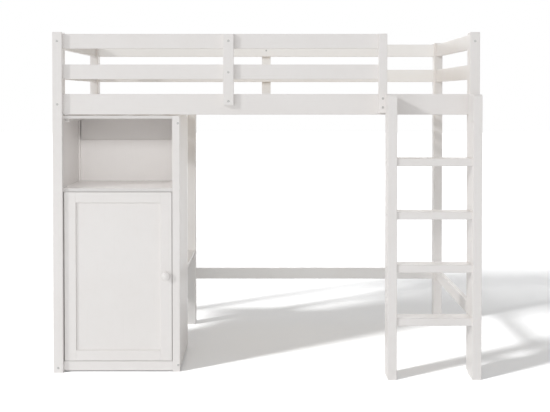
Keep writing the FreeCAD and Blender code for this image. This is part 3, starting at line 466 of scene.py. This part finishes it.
# Geometry Nodes: what repeats is grown from a few named sizes
class Growth:
    def __init__(self, name, kinds, values):
        # kinds gives each named input its socket type, values what the modifier sets
        self.tree = bpy.data.node_groups.new(name, "GeometryNodeTree")
        face = self.tree.interface
        face.new_socket("Geometry", in_out="INPUT", socket_type="NodeSocketGeometry")
        face.new_socket("Geometry", in_out="OUTPUT", socket_type="NodeSocketGeometry")
        self.settings = {}
        for label, kind in kinds.items():
            made = face.new_socket(label, in_out="INPUT", socket_type="NodeSocket" + kind)
            self.settings[made.identifier] = values[label]
        self.entry = self.tree.nodes.new("NodeGroupInput")
        self.exit = self.tree.nodes.new("NodeGroupOutput")

    def given(self, label):
        return self.entry.outputs[label]

    def node(self, kind, settings=None, sockets=None, output=0):
        return chosen(addNode(self.tree, kind, settings, sockets).outputs, output)

    def sum(self, operation, first, second):
        return self.node("ShaderNodeMath", {"operation": operation}, {0: first, 1: second})

    def vector(self, x=0.0, y=0.0, z=0.0):
        return self.node("ShaderNodeCombineXYZ", {}, {"X": x, "Y": y, "Z": z})

    def attribute(self, name, kind):
        return self.node("GeometryNodeInputNamedAttribute", {"data_type": kind}, {"Name": name}, "Attribute")

    # real geometry with smooth faces, sharp where two of them meet at more than an angle
    def finished(self, instances, sharpAngle, material):
        real = self.node("GeometryNodeRealizeInstances", {}, {"Geometry": instances})
        values = {"Geometry": real, "Shade Smooth": True}
        soft = self.node("GeometryNodeSetShadeSmooth", {"domain": "FACE"}, values)
        angle = self.node("GeometryNodeInputMeshEdgeAngle")
        gentle = self.node("FunctionNodeCompare", {"operation": "LESS_THAN"}, {"A": angle, "B": sharpAngle})
        values = {"Geometry": soft, "Shade Smooth": gentle}
        edged = self.node("GeometryNodeSetShadeSmooth", {"domain": "EDGE"}, values)
        return self.node("GeometryNodeSetMaterial", {}, {"Geometry": edged, "Material": material})

    # runs the tree on a mesh and keeps the result as a plain piece
    def grow(self, name, mesh, last):
        self.tree.links.new(last, self.exit.inputs[0])
        item = bpy.data.objects.new(name, mesh)
        scene.collection.objects.link(item)
        modifier = item.modifiers.new("growth", "NODES")
        modifier.node_group = self.tree
        for identifier, value in self.settings.items():
            modifier[identifier] = value
        grown = item.evaluated_get(bpy.context.evaluated_depsgraph_get())
        plain = bpy.data.meshes.new_from_object(grown)
        item.modifiers.remove(modifier)
        item.data = plain
        print("grown:", name, len(plain.vertices), "vertices")
        return item


# The slats: one sawn plank with a countersink at each end, repeated along the bed
slatLook = {
    "Count": 14,
    "Pitch": 0.139,
    "Width": 0.068,
    "Thickness": 0.018,
    "Length": 0.995,
    "Edge": 0.0025,
    "Screw Inset": 0.0095,
    "Screw Head": 0.0039,
    "Screw Shank": 0.00205,
    "Countersink": 0.0022,
}
slatKinds = {name: "Float" for name in slatLook} | {"Count": "Int", "Material": "Material"}


def makeSlats():
    low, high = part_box("slats")
    growth = Growth("slatRow", slatKinds, slatLook | {"Material": barePine("pine_slats", 1, 2)})
    wide, thick, length = [growth.given(name) for name in ("Width", "Thickness", "Length")]
    outline = growth.node("GeometryNodeCurvePrimitiveQuadrilateral", {}, {"Width": wide, "Height": thick})
    rounding = {"Curve": outline, "Count": 4, "Radius": growth.given("Edge")}
    outline = growth.node("GeometryNodeFilletCurve", {"mode": "POLY"}, rounding)
    sawLine = growth.node("GeometryNodeCurvePrimitiveLine", {}, {"End": growth.vector(y=length)})
    values = {"Curve": sawLine, "Profile Curve": outline, "Fill Caps": True}
    plank = growth.node("GeometryNodeCurveToMesh", {}, values)
    inset = growth.given("Screw Inset")
    sink = growth.given("Countersink")
    overcut = 1.02  # the cone stands a little above the face that it cuts
    depth = growth.sum("MULTIPLY", sink, overcut)
    head, shank = growth.given("Screw Head"), growth.given("Screw Shank")
    values = {"Vertices": 24, "Radius Top": head, "Radius Bottom": shank, "Depth": depth}
    cone = growth.node("GeometryNodeMeshCone", {}, values)
    sinkLow = growth.sum("SUBTRACT", growth.sum("DIVIDE", thick, 2.0), sink)
    between = growth.sum("SUBTRACT", length, growth.sum("MULTIPLY", inset, 2.0))
    nearEnd = growth.vector(y=inset, z=sinkLow)
    values = {"Count": 2, "Start Location": nearEnd, "Offset": growth.vector(y=between)}
    ends = growth.node("GeometryNodeMeshLine", {}, values)
    cones = growth.node("GeometryNodeInstanceOnPoints", {}, {"Points": ends, "Instance": cone})
    cones = growth.node("GeometryNodeRealizeInstances", {}, {"Geometry": cones})
    values = {"Mesh 1": plank, "Mesh 2": cones}
    plank = growth.node("GeometryNodeMeshBoolean", {"operation": "DIFFERENCE", "solver": "EXACT"}, values)
    pitch = growth.given("Pitch")
    values = {"Count": growth.given("Count"), "Offset": growth.vector(x=pitch)}
    row = growth.node("GeometryNodeMeshLine", {}, values)
    planks = growth.node("GeometryNodeInstanceOnPoints", {}, {"Points": row, "Instance": plank})
    last = growth.finished(planks, sharpAngle=0.6, material=growth.given("Material"))
    item = growth.grow("slat_row", bpy.data.meshes.new("slatStart"), last)
    item.data.transform(Matrix.Translation((low.x + slatLook["Width"] / 2, low.y, (low.z + high.z) / 2)))
    return item


# Bolts and screws: a turned head with its socket, and a shank as long as each place asks
def ringSolid(name, rings, sides=24):
    # a ring is an outline, which gives the radius at an angle, and a height
    shape = bmesh.new()
    loops = []
    for outline, height in rings:
        loop = []
        for step in range(sides):
            angle = step * math.tau / sides
            reach = outline(angle)
            loop.append(shape.verts.new((reach * math.cos(angle), reach * math.sin(angle), height)))
        loops.append(loop)
    for first, second in zip(loops, loops[1:]):
        for step in range(sides):
            following = (step + 1) % sides
            shape.faces.new((first[step], first[following], second[following], second[step]))
    shape.faces.new(loops[0])
    shape.faces.new(loops[-1])
    bmesh.ops.recalc_face_normals(shape, faces=shape.faces)
    mesh = bpy.data.meshes.new(name)
    shape.to_mesh(mesh)
    shape.free()
    return bpy.data.objects.new(name, mesh)


def circle(radius):
    return lambda angle: radius


def hexagon(flat):
    # flat is the distance from the middle to a side
    return lambda angle: flat / math.cos((angle + math.pi / 6) % (math.pi / 3) - math.pi / 6)


def bar(reach, half):
    # the tiny length keeps a division by nothing away
    def outline(angle):
        across = abs(math.cos(angle)) + 1e-6
        upward = abs(math.sin(angle)) + 1e-6
        return min(reach / across, half / upward)

    return outline


def cross(reach, half):
    # the farther edge of two bars that cross
    lying, standing = bar(reach, half), bar(half, reach)
    return lambda angle: max(lying(angle), standing(angle))


def shankSolid(name, radius, tip, sides=12):
    # a unit long, and drawn out to its length at each place
    point = radius * 0.3
    rings = [(circle(radius), 0.0), (circle(radius), 1 - tip), (circle(point), 1.0)]
    return ringSolid(name, rings, sides)


boltLook = {
    "head": 0.0056,
    "high": 0.004,
    "edge": 0.0007,  # how far the head's rim is rounded
    "flat": 0.0025,
    "socket": 0.0025,
    "taper": 0.96,
    "lip": 0.0002,
    "shank": 0.003,
    "neck": 0.9,
    "tip": 0.02,
    "lift": 0.0009,  # how far a head stands above the CAD's own
}
screwLook = {
    "head": 0.00368,
    "high": 0.0021,
    "reach": 0.0021,
    "half": 0.0005,
    "recess": 0.0012,
    "bottomReach": 0.35,  # of the mouth's reach, as the recess narrows towards its bottom
    "bottomHalf": 0.5,
    "wallReach": 0.92,
    "mouthHalf": 1.1,
    "lip": 0.0001,
    "shank": 0.002,
    "tip": 0.12,
}
shankOverlap = 0.0002  # how far a shank goes up into its head


def boltHead():
    look = boltLook
    head, flat, lip = look["head"], look["flat"], look["lip"]
    rings = [
        (hexagon(flat * look["taper"]), look["socket"]),
        (hexagon(flat), lip),
        (hexagon(flat + lip), 0.0),
        (circle(head - look["edge"]), 0.0),
        (circle(head - lip), lip),
        (circle(head), look["edge"]),
        (circle(head), look["high"]),
        (circle(look["shank"] * look["neck"]), look["high"]),
    ]
    return ringSolid("bolt_head", rings)


def screwHead():
    look = screwLook
    reach, half, lip = look["reach"], look["half"], look["lip"]
    rings = [
        (cross(reach * look["bottomReach"], half * look["bottomHalf"]), look["recess"]),
        (cross(reach * look["wallReach"], half), lip),
        (cross(reach, half * look["mouthHalf"]), 0.0),
        (circle(look["head"] - lip), 0.0),
        (circle(look["head"]), lip),
        (circle(look["shank"]), look["high"]),
    ]
    return ringSolid("screw_head", rings)


def solidPoints(name):
    # the corners of each separate solid of a CAD node
    shape = bmesh.new()
    shape.from_mesh(nodes[name].data)
    bmesh.ops.remove_doubles(shape, verts=shape.verts, dist=1e-6)
    left = set(shape.verts)
    solids = []
    while left:
        front = [left.pop()]
        points = []
        while front:
            corner = front.pop()
            points.append(corner.co.copy())
            near = {edge.other_vert(corner) for edge in corner.link_edges} & left
            left -= near
            front.extend(near)
        solids.append(points)
    shape.free()
    return solids


def extent(points):
    # lowest corner, highest corner, and the longest axis
    low = Vector([min(point[axis] for point in points) for axis in range(3)])
    high = Vector([max(point[axis] for point in points) for axis in range(3)])
    return low, high, max(range(3), key=lambda index: high[index] - low[index])


def inOrder(sites):
    # solidPoints gives the solids in any order, and each run has to make the same mesh
    return sorted(sites, key=lambda site: tuple(round(value, 5) for value in site[0]))


def fastenerSites(name):
    # where each bolt or screw starts, which way it goes in, and how long it is
    endDepth = 0.0006  # corners this near an end belong to it
    sites = []
    for points in solidPoints(name):
        low, high, axis = extent(points)
        middle = (low + high) / 2

        def girth(end):
            ring = [point for point in points if abs(point[axis] - end) < endDepth]
            return max((Vector(point) - middle).length_squared - (end - middle[axis]) ** 2 for point in ring)

        fromLow = girth(low[axis]) > girth(high[axis])
        start = middle.copy()
        start[axis] = low[axis] if fromLow else high[axis]
        direction = Vector([0, 0, 0])
        direction[axis] = 1 if fromLow else -1
        sites.append((start, direction, high[axis] - low[axis]))
    return inOrder(sites)


fastenerKinds = {
    "Head": "Object",
    "Shank": "Object",
    "Seat": "Float",
    "Lift": "Float",
    "Material": "Material",
}


def sitePoints(name, sites):
    mesh = bpy.data.meshes.new(name)
    mesh.from_pydata([site[0] for site in sites], [], [])
    directions = [value for site in sites for value in site[1]]
    mesh.attributes.new("direction", "FLOAT_VECTOR", "POINT").data.foreach_set("vector", directions)
    mesh.attributes.new("reach", "FLOAT", "POINT").data.foreach_set("value", [site[2] for site in sites])
    return mesh


def makeFasteners(name, sites, values):
    growth = Growth(name + "Set", fastenerKinds, values)
    points = growth.given("Geometry")
    direction = growth.attribute("direction", "FLOAT_VECTOR")
    reach = growth.attribute("reach", "FLOAT")
    facing = growth.node("FunctionNodeAlignRotationToVector", {"axis": "Z"}, {"Vector": direction})

    def moved(distance):
        scaled = {0: direction, "Scale": distance}
        offset = growth.node("ShaderNodeVectorMath", {"operation": "SCALE"}, scaled)
        return growth.node("GeometryNodeSetPosition", {}, {"Geometry": points, "Offset": offset})

    def placed(where, shape, scale):
        solid = growth.node("GeometryNodeObjectInfo", {}, {"Object": growth.given(shape)}, "Geometry")
        put = {"Points": where, "Instance": solid, "Rotation": facing, "Scale": scale}
        return growth.node("GeometryNodeInstanceOnPoints", {}, put)

    lift = growth.given("Lift")
    seat = growth.sum("SUBTRACT", growth.given("Seat"), lift)
    heads = placed(moved(growth.sum("MULTIPLY", lift, -1.0)), "Head", (1, 1, 1))
    shankLong = growth.sum("SUBTRACT", reach, seat)
    shanks = placed(moved(seat), "Shank", growth.vector(1.0, 1.0, shankLong))
    both = growth.tree.nodes.new("GeometryNodeJoinGeometry")
    for part in (heads, shanks):
        growth.tree.links.new(part, both.inputs[0])
    last = growth.finished(both.outputs[0], sharpAngle=0.7, material=growth.given("Material"))
    return growth.grow(name, sitePoints(name + "Sites", sites), last)


def stands(item, nodeName, body):
    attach(item, body)
    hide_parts(nodeName)


stands(makeSlats(), "slats", "frame")
boltValues = {
    "Head": boltHead(),
    "Shank": shankSolid("bolt_shank", boltLook["shank"], boltLook["tip"]),
    "Seat": boltLook["high"] - shankOverlap,
    "Lift": boltLook["lift"],
    "Material": zincSteel("zincSteel_bolts", 6),
}
bolts = makeFasteners("frame_bolt_set", fastenerSites("frame_bolts"), boltValues)
stands(bolts, "frame_bolts", "frame")
screwValues = {
    "Head": screwHead(),
    "Shank": shankSolid("screw_shank", screwLook["shank"], screwLook["tip"]),
    "Seat": screwLook["high"] - shankOverlap,
    "Lift": 0.0,
    "Material": zincSteel("zincSteel_screws", 7),
}
screws = makeFasteners("wood_screw_set", fastenerSites("wood_screws"), screwValues)
stands(screws, "wood_screws", "frame")


# Nuts: barrels with a slot across both ends, and sleeves with a hexagon in both ends
nutLook = {
    "radius": 0.005,
    "high": 0.003,
    "slotReach": 0.0038,
    "slotHalf": 0.0006,
    "slotDeep": 0.0011,
    "sleeveFlat": 0.003,
    "sleeveDeep": 0.0026,
    "chamfer": 0.0003,
    "sink": 0.0004,  # how far an end stays under its board's face
    "farthest": 0.012,
    "barrelLong": 0.014,
    "nearly": 0.0002,
    "thickestBoard": 0.06,
}


def nutHead(name, outline, deep):
    radius, chamfer = nutLook["radius"], nutLook["chamfer"]
    rings = [
        (outline, deep),
        (outline, 0.0),
        (circle(radius - chamfer), 0.0),
        (circle(radius), chamfer),
        (circle(radius), nutLook["high"]),
    ]
    return ringSolid(name, rings, sides=48)


boardBoxes = [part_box(name) for name in paintedPieces]


def faceDistance(middle, axis, side):
    # how far the board that holds a nut goes on to one side of its middle
    found = []
    for low, high in boardBoxes:
        holds = all(low[index] < middle[index] < high[index] for index in range(3))
        if holds and high[axis] - low[axis] < nutLook["thickestBoard"]:
            found.append(high[axis] - middle[axis] if side > 0 else middle[axis] - low[axis])
    return min(found, default=0.0)


def nutSites(barrels):
    # both ends of each nut, drawn out to just under its board's faces
    sites = []
    for points in solidPoints("bolt_nuts"):
        low, high, axis = extent(points)
        half = (high[axis] - low[axis]) / 2
        if (abs(half * 2 - nutLook["barrelLong"]) < nutLook["nearly"]) != barrels:
            continue
        middle = (low + high) / 2
        for side in (-1, 1):
            reach = faceDistance(middle, axis, side) - nutLook["sink"]
            if not half < reach < half + nutLook["farthest"]:
                reach = half - nutLook["sink"]
            inward = Vector([0, 0, 0])
            inward[axis] = -side
            sites.append((middle - inward * reach, inward, reach))
    return inOrder(sites)


def makeNuts():
    look = nutLook
    shapes = {
        "barrel": nutHead("barrel_end", bar(look["slotReach"], look["slotHalf"]), look["slotDeep"]),
        "sleeve": nutHead("sleeve_end", hexagon(look["sleeveFlat"]), look["sleeveDeep"]),
    }
    values = {
        "Shank": shankSolid("nut_body", look["radius"], tip=0.0, sides=32),
        "Seat": look["high"] - shankOverlap,
        "Lift": 0.0,
        "Material": zincSteel("zincSteel_nuts", 8),
    }
    both = bmesh.new()
    made = []
    for name, shape in shapes.items():
        made.append(makeFasteners(name + "_nuts", nutSites(name == "barrel"), values | {"Head": shape}))
        both.from_mesh(made[-1].data)
    both.to_mesh(made[0].data)
    both.free()
    bpy.data.objects.remove(made[1])
    made[0].name = "bolt_nut_set"
    return made[0]


stands(makeNuts(), "bolt_nuts", "frame")


# Floor, light and camera
floorLook = {
    "size": 60,
    "colour": (0.55, 0.553, 0.556, 1),
    "seen": (0.97, 0.975, 0.98, 1),
    "glow": 0.07,
}


def makeFloor():
    half = floorLook["size"] / 2
    mesh = bpy.data.meshes.new("floor")
    corners = [(-half, -half, 0), (half, -half, 0), (half, half, 0), (-half, half, 0)]
    mesh.from_pydata(corners, [], [(0, 1, 2, 3)])
    item = bpy.data.objects.new("floor", mesh)
    scene.collection.objects.link(item)
    finish = Finish("paleFloor")
    plain = finish.node("ShaderNodeBsdfDiffuse", {}, {"Color": floorLook["colour"]})
    pale = finish.node("ShaderNodeBsdfDiffuse", {}, {"Color": floorLook["seen"]})
    glow = finish.node("ShaderNodeEmission", {}, {"Color": (1, 1, 1, 1), "Strength": floorLook["glow"]})
    shown = finish.node("ShaderNodeAddShader", {}, {0: pale, 1: glow})
    mixed = finish.node("ShaderNodeMixShader", {}, {0: finish.seenDirectly(), 1: plain, 2: shown})
    finish.node("ShaderNodeOutputMaterial", {}, {"Surface": mixed})
    mesh.materials.append(finish.material)
    return item


# A weak sun shapes the bed, and a stronger one, which only the floor takes, draws the shadows on it.
lightLook = {"fill": 0.5, "shown": 1.0, "aim": (-0.2, 0.0, 0.9)}
suns = {
    "sun": {"strength": 0.86, "angle": 4.0, "travel": (1.34, 1.0, -0.72)},
    "floorSun": {"strength": 3.6, "angle": 7.5, "travel": (1.40, 1.0, -0.95)},
}
softBoxes = {
    "high": {"size": (7.0, 3.5), "place": (-0.3, -13.0, 5.0), "power": 100},
    "low": {"size": (1.2, 0.8), "place": (-1.6, -3.2, 0.35), "power": 8.9, "aim": (-0.7, -0.45, 0.5)},
    "behind": {"size": (8.0, 5.0), "place": (0.0, 13.0, 4.0), "power": 178},
    "cubby": {"size": (0.7, 0.3), "place": (-0.62, -2.2, 1.7), "power": 12.4, "aim": (-0.7, -0.1, 1.0)},
    "shelf": {"size": (0.46, 0.2), "place": (-0.7, -0.38, 1.17), "power": 0.32, "aim": (-0.7, -0.36, 0.88)},
    "rear": {"size": (3.0, 1.5), "place": (0.2, -6.0, 3.0), "power": 70, "aim": (0.2, 0.5, 1.2),
             "colour": (0.84, 0.96, 1.0)},
}
cubbyPieces = {"cabinet_back", "cabinet_back_rail", "cabinet_battens", "cabinet_side_left", "cabinet_top",
               "cubby_shelf"}
# What each of these lamps lights. The others light everything.
lampTakers = {
    "low": sorted(set(nodes) - cubbyPieces),
    "floorSun": ["floor"],
    "cubby": ["cabinet_back", "cabinet_battens", "cabinet_side_left"],
    "shelf": ["cubby_shelf"],
    "rear": ["guard_top_rear", "guard_middle_rear", "rear_upright", "lower_rail_rear", "post_rear_middle"],
}


def makeSky():
    finish = Finish("studio", scene.world or bpy.data.worlds.new("studio"))
    scene.world = finish.material
    white = (1, 1, 1, 1)
    fill = finish.node("ShaderNodeBackground", {}, {"Color": white, "Strength": lightLook["fill"]})
    shown = finish.node("ShaderNodeBackground", {}, {"Color": white, "Strength": lightLook["shown"]})
    mixed = finish.node("ShaderNodeMixShader", {}, {0: finish.seenDirectly(), 1: fill, 2: shown})
    finish.node("ShaderNodeOutputWorld", {}, {"Surface": mixed})


def hang(name, lamp, place, travel, things):
    # puts a lamp in its place, turned the way its light travels
    item = bpy.data.objects.new(name, lamp)
    item.location = place
    item.rotation_euler = travel.to_track_quat("-Z", "Y").to_euler()
    scene.collection.objects.link(item)
    if name in lampTakers:
        takers = bpy.data.collections.new(name + "Only")
        for taker in lampTakers[name]:
            takers.objects.link(things[taker])
        item.light_linking.receiver_collection = takers


def makeLamps(floor):
    things = nodes | {"floor": floor}
    for name, look in suns.items():
        lamp = bpy.data.lights.new(name, "SUN")
        lamp.energy = look["strength"]
        lamp.angle = math.radians(look["angle"])
        hang(name, lamp, (0, 0, 0), Vector(look["travel"]), things)
    for name, look in softBoxes.items():
        lamp = bpy.data.lights.new(name, "AREA")
        lamp.shape = "RECTANGLE"
        lamp.size, lamp.size_y = look["size"]
        lamp.energy = look["power"]
        lamp.color = look.get("colour", (1, 1, 1))
        travel = Vector(look.get("aim", lightLook["aim"])) - Vector(look["place"])
        hang(name, lamp, look["place"], travel, things)


cameraLook = {
    "eye": (0.0043, -5.2465, 1.3206),
    "pitch": 1.2,
    "lens": 65.99,
    "sensor": 36,
    "shiftX": 0.01456,
    "shiftY": -0.16389,
}


def makeCamera():
    data = bpy.data.cameras.new("camera")
    data.sensor_width = cameraLook["sensor"]
    data.lens = cameraLook["lens"]
    data.shift_x = cameraLook["shiftX"]
    data.shift_y = cameraLook["shiftY"]
    item = bpy.data.objects.new("camera", data)
    item.location = cameraLook["eye"]
    item.rotation_euler = Euler((math.radians(90 - cameraLook["pitch"]), 0, 0))
    scene.collection.objects.link(item)
    scene.camera = item


makeSky()
makeLamps(makeFloor())
makeCamera()
scene.view_settings.view_transform = "Standard"
print("floor, light and camera placed")
